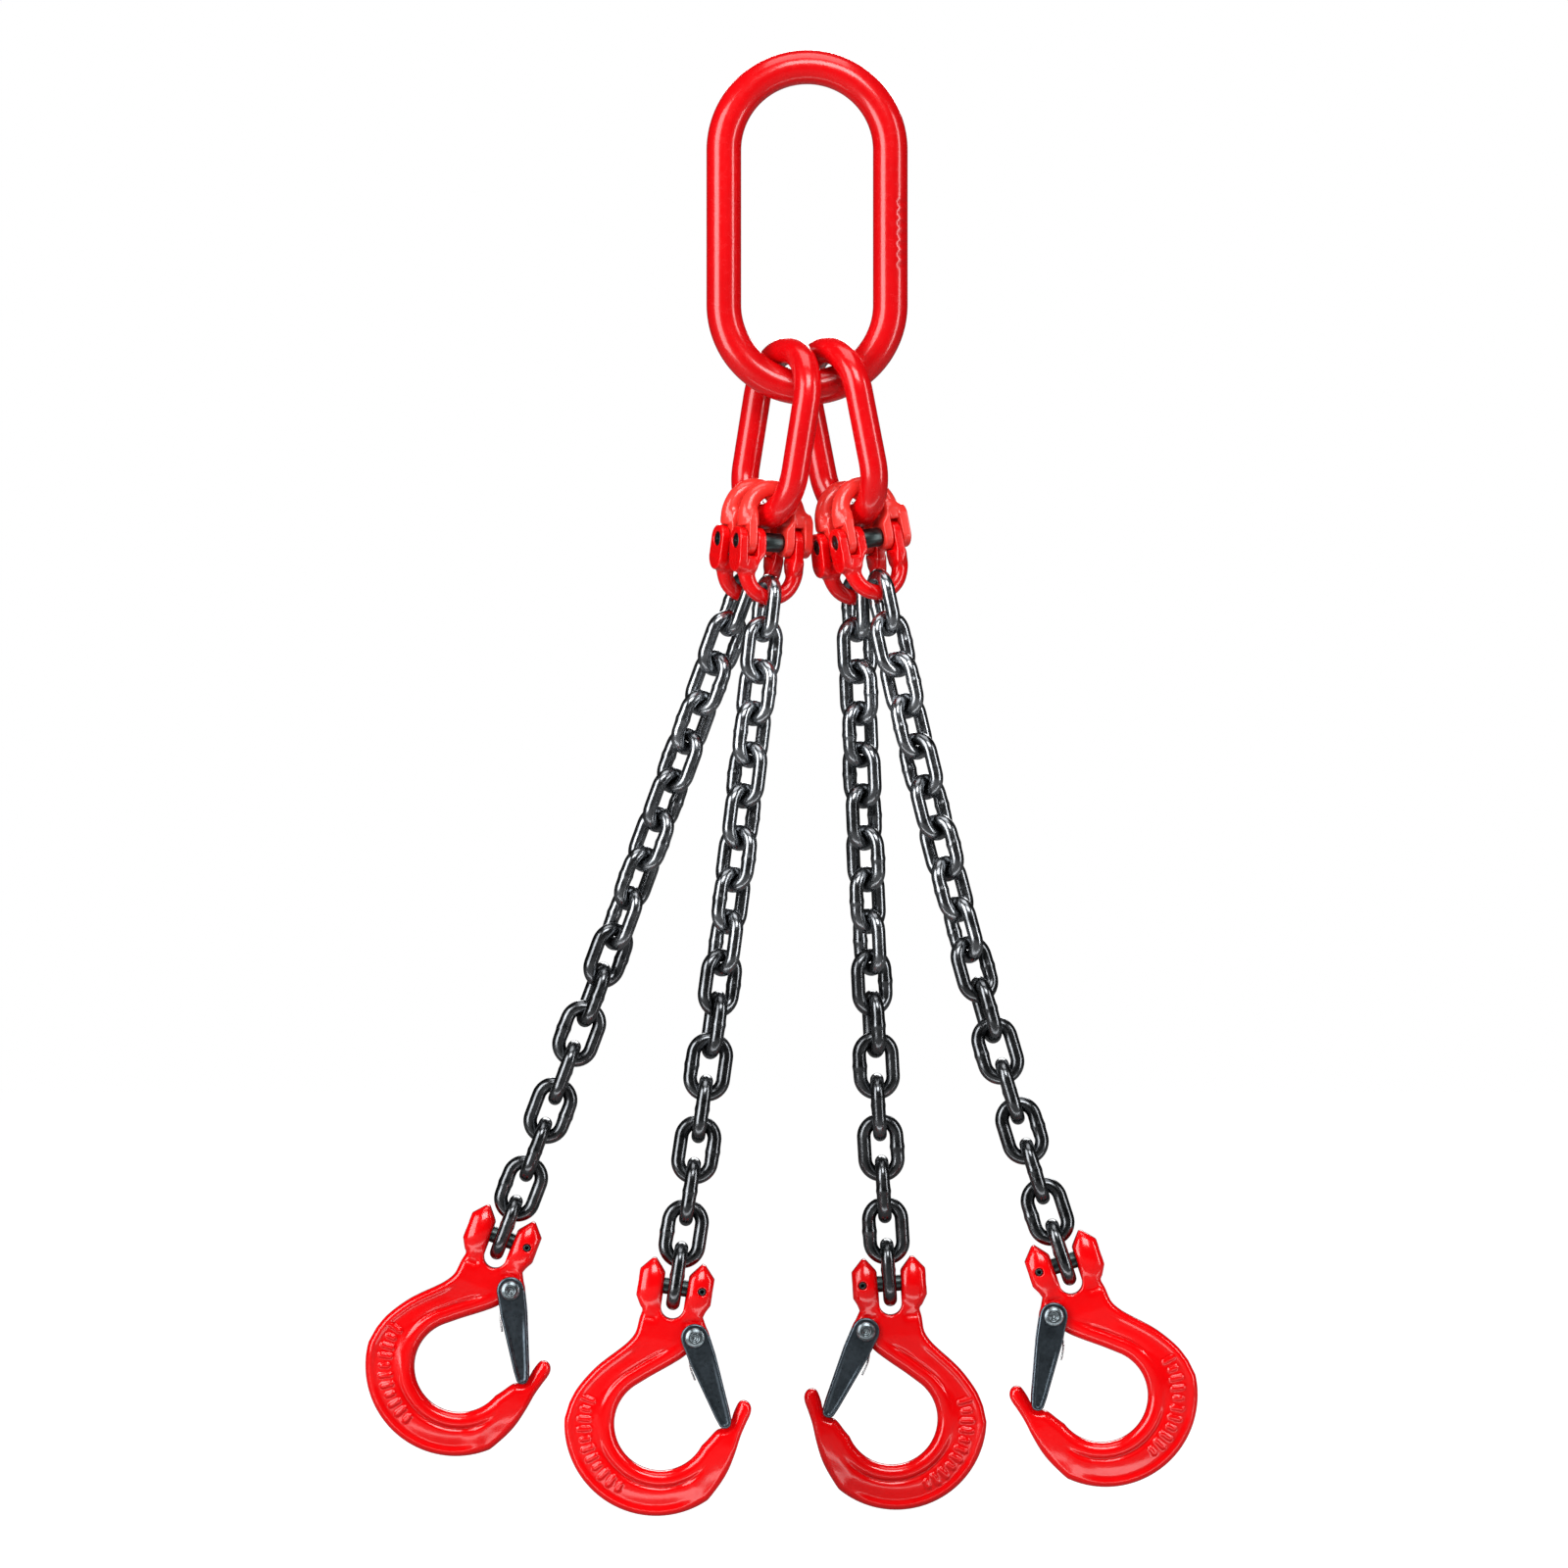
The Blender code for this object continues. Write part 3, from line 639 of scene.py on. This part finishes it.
class Nodes:
    """A small helper that adds nodes to a material and links them."""

    def __init__(self, name):
        self.material = bpy.data.materials.new(name)
        self.material.use_nodes = True
        self.tree = self.material.node_tree
        self.shader = self.tree.nodes["Principled BSDF"]

    def add(self, kind, settings=None, **inputs):
        node = self.tree.nodes.new("ShaderNode" + kind)
        for key, value in (settings or {}).items():
            setattr(node, key, value)
        for key, value in inputs.items():
            self.feed(node.inputs[key.replace("_", " ")], value)
        return node

    def feed(self, socket, value):
        if isinstance(value, bpy.types.NodeSocket):
            self.tree.links.new(value, socket)
        else:
            socket.default_value = value

    def noise(self, seed, scale, detail=3, roughness=0.55):
        """Noise fixed to the piece. The scale is in waves to the metre."""
        where = self.add("TexCoord").outputs["Object"]
        moved = self.add("VectorMath", {"operation": "ADD"})
        self.feed(moved.inputs[0], where)
        self.feed(moved.inputs[1], (seed * 0.37, seed * 0.71, seed * 0.13))
        settings = {"Scale": scale, "Detail": detail, "Roughness": roughness}
        return self.add("TexNoise", Vector=moved.outputs[0], **settings).outputs["Fac"]

    def span(self, value, low, high, to_low, to_high):
        """A value's range stretched to another, and clamped there."""
        node = self.add("MapRange", {"clamp": True})
        sockets = ("Value", "From Min", "From Max", "To Min", "To Max")
        for key, item in zip(sockets, (value, low, high, to_low, to_high)):
            self.feed(node.inputs[key], item)
        return node.outputs["Result"]

    def mix(self, share, one, two):
        node = self.add("Mix", {"data_type": "RGBA"})
        self.feed(node.inputs["Factor"], share)
        self.feed(node.inputs[6], one)
        self.feed(node.inputs[7], two)
        return node.outputs[2]

    def bump(self, height, distance, strength=1.0, below=None):
        node = self.add("Bump", Height=height, Distance=distance, Strength=strength)
        if below:
            self.feed(node.inputs["Normal"], below)
        return node.outputs["Normal"]

    def pointiness(self):
        """Above a half on outer edges and below it in hollows."""
        return self.add("NewGeometry").outputs["Pointiness"]


# Waves to the metre of each material's textures
CLOUD_SCALE = 22
SPECK_SCALE = 240
FORGING_SCALE = 55
PEEL_SCALE = 380
FILM_SCALE = 110
GRAIN_SCALE = 520
PIT_SCALE = 260


def rgba(colour, factor=1.0):
    return (*(c * factor for c in colour), 1)


def paint(name, colour, seed, roughness=0.2, texture=1.0):
    """Thick glossy enamel over a forging: slightly uneven colour, orange peel, and painted shade
    that darkens the hollows.
    """
    n = Nodes(name)
    clouds = n.noise(seed, CLOUD_SCALE)
    base = n.mix(n.span(clouds, 0.35, 0.65, 0, 1), rgba(colour, 0.92), rgba(colour, 1.05))
    # Painted shade: the colour is darkened in the hollows, where shade falls.
    hollow = n.span(n.pointiness(), 0.40, 0.495, 1, 0)
    base = n.mix(hollow, base, rgba((colour[0] * 0.5, colour[1] * 0.4, colour[2] * 0.4)))
    n.feed(n.shader.inputs["Base Color"], base)
    specks = n.noise(seed + 3, SPECK_SCALE, 4, 0.6)
    rough = n.span(specks, 0.3, 0.7, roughness, roughness + 0.10)
    n.feed(n.shader.inputs["Roughness"], rough)
    n.feed(n.shader.inputs["Specular IOR Level"], 0.38)
    n.feed(n.shader.inputs["Coat Weight"], 0.5)
    n.feed(n.shader.inputs["Coat Roughness"], 0.10)
    forged = n.bump(n.noise(seed + 5, FORGING_SCALE, 2), 0.4 * MM, 0.40 * texture)
    peel = n.bump(n.noise(seed + 7, PEEL_SCALE, 2), 0.03 * MM, 0.25 * texture, forged)
    n.feed(n.shader.inputs["Normal"], peel)
    return n.material


def steel(name, colour, seed, roughness, spots=0.3, bump=0.2 * MM):
    """Steel with an uneven finish: a darker film in patches, fine pits and brighter worn edges."""
    n = Nodes(name)
    patches = n.noise(seed, FILM_SCALE, 4, 0.6)
    base = n.mix(n.span(patches, 0.35, 0.7, 0, 1), rgba(colour), rgba(colour, 1 - spots))
    worn = n.span(n.pointiness(), 0.515, 0.60, 0, 1)
    base = n.mix(worn, base, rgba(colour, 1.5))
    n.feed(n.shader.inputs["Base Color"], base)
    n.feed(n.shader.inputs["Metallic"], 1.0)
    grain = n.noise(seed + 2, GRAIN_SCALE, 3, 0.6)
    n.feed(n.shader.inputs["Roughness"], n.span(grain, 0.3, 0.7, roughness, roughness + 0.12))
    n.feed(n.shader.inputs["Normal"], n.bump(n.noise(seed + 4, PIT_SCALE, 3), bump, 0.5))
    return n.material


RED = (0.76, 0.0015, 0.004)
ORANGE_RED = (0.97, 0.040, 0.030)
BRIGHT_RED = (0.88, 0.0005, 0.002)
CHAIN_STEEL = (0.135, 0.142, 0.15)
RUN_PAINTED_SHEEN = (3.0, 2.2, 1.25, 1.1)     # painted sheen: the upper runs are brighter, standing in for the highlights they catch
PIN_STEEL = (0.055, 0.070, 0.070)
LATCH_STEEL = (0.120, 0.152, 0.180)
RIVET_STEEL = (0.22, 0.26, 0.28)
BRIGHT_STEEL = (0.62, 0.63, 0.64)


# ---------------------------------------------------------------- links

def add_links():
    bm = bmesh.new()
    add_tube(bm, oblong(MASTER_LENGTH, MASTER_WIDTH, MASTER_BAR, 72, 110), MASTER_BAR / 2, 56, True)
    stamp_marks(bm)
    name = "master_link"
    mesh = finish_mesh(bm, name + "_forged")
    where = Matrix.Translation((0, 0, -MASTER_LENGTH / 2))
    material = paint("red_enamel_master", RED, 1, 0.2, 0.3)
    add_piece(name + "_forged", mesh, where, name, name, material)
    for side, word in ((-1, "left"), (1, "right")):
        name = "intermediate_link_" + word
        bm = bmesh.new()
        add_tube(bm, oblong(INTER_LENGTH, INTER_WIDTH, INTER_BAR, 60, 30), INTER_BAR / 2, 48, True)
        mesh = finish_mesh(bm, name)
        where = inter_frame(side) @ Matrix.Translation((0, 0, -(INTER_LENGTH + INTER_BAR) / 2))
        material = paint("red_enamel_" + name, RED, 2 + side, 0.2, 0.4)
        add_piece(name + "_forged", mesh, where, name, name, material)


def stamp_marks(bm):
    """A short row of stamped dashes on the outer right side of the master link."""
    bar_middle = (MASTER_WIDTH + MASTER_BAR) / 2
    row_half_length = 40 * MM
    row_middle = -4 * MM
    dash_spacing = 6 * MM
    dash_depth = 0.4 * MM
    row_angle, row_half_angle = 0.75, 0.34
    for vert in bm.verts:
        x, y, z = vert.co
        if x < bar_middle - 4 * MM or abs(z) > row_half_length:
            continue
        angle = atan2(-y, x - bar_middle)
        across = abs(angle - row_angle) / row_half_angle
        row = (z - row_middle) / dash_spacing
        if across > 1.3 or abs(row) > 3.5:
            continue
        off = abs(row - round(row)) * 6
        depth = dash_depth * max(0, min(1, (1.9 - off) / 0.8))
        depth *= max(0, min(1, (1.3 - across) / 0.3))
        vert.co -= Vector((cos(angle), -sin(angle), 0)) * depth


def add_connector(leg, side, depth, lean, meshes, seed):
    where = connector_frame(side, depth)
    upper, lower, stem = leg + "_connector_upper", leg + "_connector_lower", leg + "_connector"
    red = paint(leg + "_lower_enamel", BRIGHT_RED, seed + 5)
    orange = paint(leg + "_upper_enamel", ORANGE_RED, seed + 4, 0.26)
    dark = steel(leg + "_pin_steel", PIN_STEEL, seed + 6, 0.3)
    for name, mesh, node, material, slot in (
        (upper + "_half_forged", "upper", upper + "_half", orange, "orange_red_paint"),
        (leg + "_load_pin_turned", "load_pin", stem + "_load_pin", dark, "dark_pin_steel"),
        (leg + "_bush_turned", "bush", stem + "_bush", dark, "dark_pin_steel"),
    ):
        add_piece(name, meshes[mesh], where, upper, node, material)
    turned = lower_frame(side, depth, lean) @ Matrix.Rotation(pi, 4, "Y")
    name = lower + "_half_forged"
    add_piece(name, meshes["lower"], turned, lower, lower + "_half", red)


def add_chain(leg, frames, seed):
    path = oblong(CHAIN_PITCH - FUSE, CHAIN_WIDTH, CHAIN_BAR, 22, 12)
    first = 0
    for letter, count, painted_sheen in zip(RUN_LETTERS, RUNS, RUN_PAINTED_SHEEN):
        name = f"{leg}_chain_{letter}"
        # Painted sheen: each run's steel colour is scaled up, most on the upper runs, to stand in
        # for their highlights.
        colour = [c * painted_sheen for c in CHAIN_STEEL]
        where = frames[first]
        bm = bmesh.new()
        for i, link in enumerate(frames[first:first + count]):
            local = where.inverted() @ link
            # The welds change sides after every second link.
            if (first + i) % 4 > 1:
                local = local @ Matrix.Rotation(pi, 4, "Z")
            add_tube(bm, path, CHAIN_BAR / 2, 20, True, local, weld)
        mesh = finish_mesh(bm, name)
        material = steel(name + "_steel", colour, seed + first, 0.16, 0.75)
        add_piece(name + "_links", mesh, where, name, name, material)
        first += count


def add_hook(leg, where, meshes, seed):
    body, latch = leg + "_hook", leg + "_latch"
    keeper = where @ Matrix.Translation((KEEPER_ACROSS * MM, 0, 0))
    at_rivet = latch_frame(where)
    red = paint(leg + "_hook_enamel", BRIGHT_RED, seed + 8, 0.13)
    dark = steel(leg + "_clevis_steel", PIN_STEEL, seed + 9, 0.3)
    plated = steel(latch + "_steel", LATCH_STEEL, seed + 10, 0.26, 0.35, 0.1 * MM)
    zinc = steel(leg + "_rivet_zinc", RIVET_STEEL, seed + 11, 0.24, 0.35, 0.1 * MM)
    bright = steel(leg + "_spring_steel", BRIGHT_STEEL, seed + 12, 0.22, 0.25, 0.1 * MM)
    for name, mesh, at, rides_on, node, material, slot in (
        ("_hook_forged", "hook", where, body, "_hook_body", red, "red_paint"),
        ("_clevis_pin_turned", "clevis", where, body, "_hook_clevis_pin", dark, "dark_pin_steel"),
        ("_roll_pin", "keeper", keeper, body, "_hook_retaining_pin", dark, "black_chain_steel"),
        ("_latch_pressed", "latch", at_rivet, latch, "_latch", plated, "grey_latch_steel"),
        ("_rivet_headed", "rivet", at_rivet, body, "_latch_rivet", zinc, "bright_steel"),
        ("_spring_wire", "spring", at_rivet, latch, "_latch_spring", bright, "bright_steel"),
    ):
        add_piece(leg + name, meshes[mesh], at, rides_on, leg + node, material)


# ---------------------------------------------------------------- shared meshes

AXIS_GAP = 0.02         # a turned profile stops this far from its axis, so that no ring collapses


def both_ends(end):
    """A profile from half of one, mirrored to the other end of the axis."""
    return [(-a, r) for a, r in reversed(end)] + end


def rod_profile(half, radius, chamfer, dimple):
    """A turned pin with chamfered ends and a shallow centre dimple in each."""
    return both_ends([
        (half - chamfer, radius), (half - chamfer * 0.35, radius - chamfer * 0.35),
        (half, radius - chamfer), (half, dimple + 0.4), (half - 0.25, dimple),
        (half - 0.7, dimple * 0.3), (half - 0.75, AXIS_GAP),
    ])


def sleeve_profile(half, inner, outer, chamfer):
    """A round sleeve with chamfered ends."""
    return both_ends([
        (half - chamfer, outer), (half - chamfer * 0.3, outer - chamfer * 0.3),
        (half, outer - chamfer), (half, inner + 0.1), (half - 0.2, inner),
    ])


def rivet_profile():
    """A rivet with a rolled head on each side of the latch, hollow in the middle."""
    under = LATCH_INSIDE / 2 + LATCH_SHEET + 0.3
    head = [
        (0, 3.0), (0, 5.4), (0.25, 5.7), (0.6, 5.6), (1.0, 5.1), (1.35, 4.2), (1.7, 3.5),
        (1.75, 3.0), (1.6, 2.5), (1.0, 2.2), (0.4, 2.0), (0.3, 1.2), (0.35, AXIS_GAP),
    ]
    return both_ends([(under + along, radius) for along, radius in head])


def spring_mesh():
    """The latch spring: a turn of wire round the rivet and a leg that bears on the latch."""
    bm = bmesh.new()
    turn = [(x * MM, z * MM) for x, z in arc((0, 0), 5, 130, -150, 48)]
    leg_points = [(-6.6 * MM, -9 * MM), (-8.5 * MM, -16 * MM), (-8.6 * MM, -24 * MM)]
    leg = curve_through([turn[-1]] + leg_points, 8)[1:]
    beside_hook = Matrix.Translation((0, (HOOK_THICK + LATCH_INSIDE) / 4 * MM, 0))
    add_tube(bm, turn + leg, WIRE_RADIUS * MM, 12, False, beside_hook)
    return finish_mesh(bm, "spring")


def shared_meshes():
    """The meshes that every leg uses, each in its own frame."""
    conn_half = CONN_LUG_INNER + 2 * CONN_LUG_PITCH + CONN_LUG_WIDTH
    upper = connector_field(CONN_UPPER_CROWN, CONN_UPPER_BAR)
    lower = connector_field(CONN_LOWER_CROWN, CONN_LOWER_BAR)
    conn_box = (-24.2, -9, -9), (24.2, 9, 37.5)
    load_pin = rod_profile(conn_half - 0.3, CONN_PIN_RADIUS, 0.7, 1.2)
    bush = sleeve_profile(
        CONN_LUG_INNER - 0.6, CONN_PIN_RADIUS + BORE_CLEARANCE, CONN_BUSH_RADIUS, 0.7
    )
    clevis_pin = rod_profile(CLEVIS_PIN_LENGTH / 2, CLEVIS_PIN_RADIUS, 0.8, 1.4)
    return {
        "hook": surface("hook_forging", hook_field, (-53, -12, -133.5), (55, 12, 17.5), 0.8),
        "upper": surface("upper_half", upper, *conn_box, 0.55),
        "lower": surface("lower_half", lower, *conn_box, 0.55),
        "latch": surface("latch_pressing", latch_field, (-9, -11, -56), (9, 11, 9), 0.45),
        "load_pin": lathe("load_pin", load_pin, 40),
        "bush": lathe("bush", bush, 40),
        "clevis": lathe("clevis_pin", clevis_pin, 40),
        "keeper": lathe("roll_pin", sleeve_profile(10, 1.1, KEEPER_RADIUS, 0.4), 24, "Y"),
        "rivet": lathe("rivet", rivet_profile(), 48, "Y"),
        "spring": spring_mesh(),
    }


def add_legs(meshes):
    for number, (leg, side, depth, lean_top, lean_bottom) in enumerate(LEGS):
        seed = 20 * (number + 1)
        add_connector(leg, side, depth, lean_top, meshes, seed)
        frames = link_frames(side, depth, lean_top, lean_bottom)
        add_chain(leg, frames, seed)
        add_hook(leg, hook_frame(frames[-1], side, lean_bottom), meshes, seed)


# ---------------------------------------------------------------- stage, lights and camera

FLOOR_LEVEL = -0.90
FLOOR_HALF_SIZE = 9
SEEN_WHITE = 1.0        # what the camera sees of the floor and the world
FLOOR_GLOW = 0.04       # what they give to light and reflections
WORLD_GLOW = 0.025
SLING_MIDDLE = (0, 0, -0.42)
UNDER_HOOKS = (0, -0.20, -0.885)
SOFTBOXES = (
    # name, place, aimed at, width, height, watts
    ("left_box", (-1.25, -1.08, -0.15), SLING_MIDDLE, 0.85, 1.7, 27),
    ("right_strip", (1.50, -0.75, -0.20), SLING_MIDDLE, 0.30, 1.7, 12),
    ("front_box", (0.30, -2.1, 1.25), SLING_MIDDLE, 1.3, 0.9, 34),
    ("top_box", (0, -0.3, 1.3), SLING_MIDDLE, 1.2, 1.0, 10),
    ("low_strip", UNDER_HOOKS, (0, -0.20, 0), 1.3, 0.06, 0.8),
    ("back_box", (0.2, 2.3, 0.9), SLING_MIDDLE, 1.6, 1.0, 34),
)
CAMERA_PLACE = (-0.0133, -5.022, -0.4034)
CAMERA_LENS = 200
CAMERA_SENSOR = 36


def camera_only(tree, seen, lit):
    """One value for what the camera sees directly and another for light and reflections."""
    path = tree.nodes.new("ShaderNodeLightPath")
    mix = tree.nodes.new("ShaderNodeMix")
    mix.data_type = "FLOAT"
    mix.inputs[2].default_value = lit
    mix.inputs[3].default_value = seen
    tree.links.new(path.outputs["Is Camera Ray"], mix.inputs["Factor"])
    return mix.outputs[0]


def add_floor():
    bm = bmesh.new()
    bmesh.ops.create_grid(bm, x_segments=1, y_segments=1, size=FLOOR_HALF_SIZE)
    floor = bpy.data.objects.new("studio_floor", finish_mesh(bm, "studio_floor"))
    bpy.context.scene.collection.objects.link(floor)
    floor.location = (0, 0, FLOOR_LEVEL)
    n = Nodes("studio_floor_white")
    n.feed(n.shader.inputs["Base Color"], (0.16, 0.16, 0.16, 1))
    n.feed(n.shader.inputs["Roughness"], 1.0)
    n.feed(n.shader.inputs["Specular IOR Level"], 0.0)
    n.feed(n.shader.inputs["Emission Color"], (1, 1, 1, 1))
    n.feed(n.shader.inputs["Emission Strength"], camera_only(n.tree, SEEN_WHITE, FLOOR_GLOW))
    floor.data.materials.append(n.material)


def add_world():
    world = bpy.data.worlds.new("studio")
    bpy.context.scene.world = world
    world.use_nodes = True
    tree = world.node_tree
    background = tree.nodes["Background"]
    background.inputs["Color"].default_value = (1, 1, 1, 1)
    strength = camera_only(tree, SEEN_WHITE, WORLD_GLOW)
    tree.links.new(strength, background.inputs["Strength"])


def add_softbox(name, location, target, width, height, power):
    light = bpy.data.lights.new(name, "AREA")
    light.shape = "RECTANGLE"
    light.size = width
    light.size_y = height
    light.energy = power
    obj = bpy.data.objects.new(name, light)
    bpy.context.scene.collection.objects.link(obj)
    obj.location = location
    aim = Vector(target) - Vector(location)
    obj.rotation_euler = aim.to_track_quat("-Z", "Y").to_euler()
    obj.visible_camera = False


def add_lights():
    for box in SOFTBOXES:
        add_softbox(*box)


def add_camera():
    camera = bpy.data.cameras.new("camera")
    camera.lens = CAMERA_LENS
    camera.sensor_width = CAMERA_SENSOR
    obj = bpy.data.objects.new("camera", camera)
    bpy.context.scene.collection.objects.link(obj)
    obj.location = CAMERA_PLACE
    obj.rotation_euler = (pi / 2, 0, 0)
    bpy.context.scene.camera = obj
    bpy.context.scene.view_settings.view_transform = "Standard"


def write_sizes():
    bpy.context.view_layer.update()


add_camera()
add_world()
add_floor()
add_lights()
add_links()
add_legs(shared_meshes())
write_sizes()
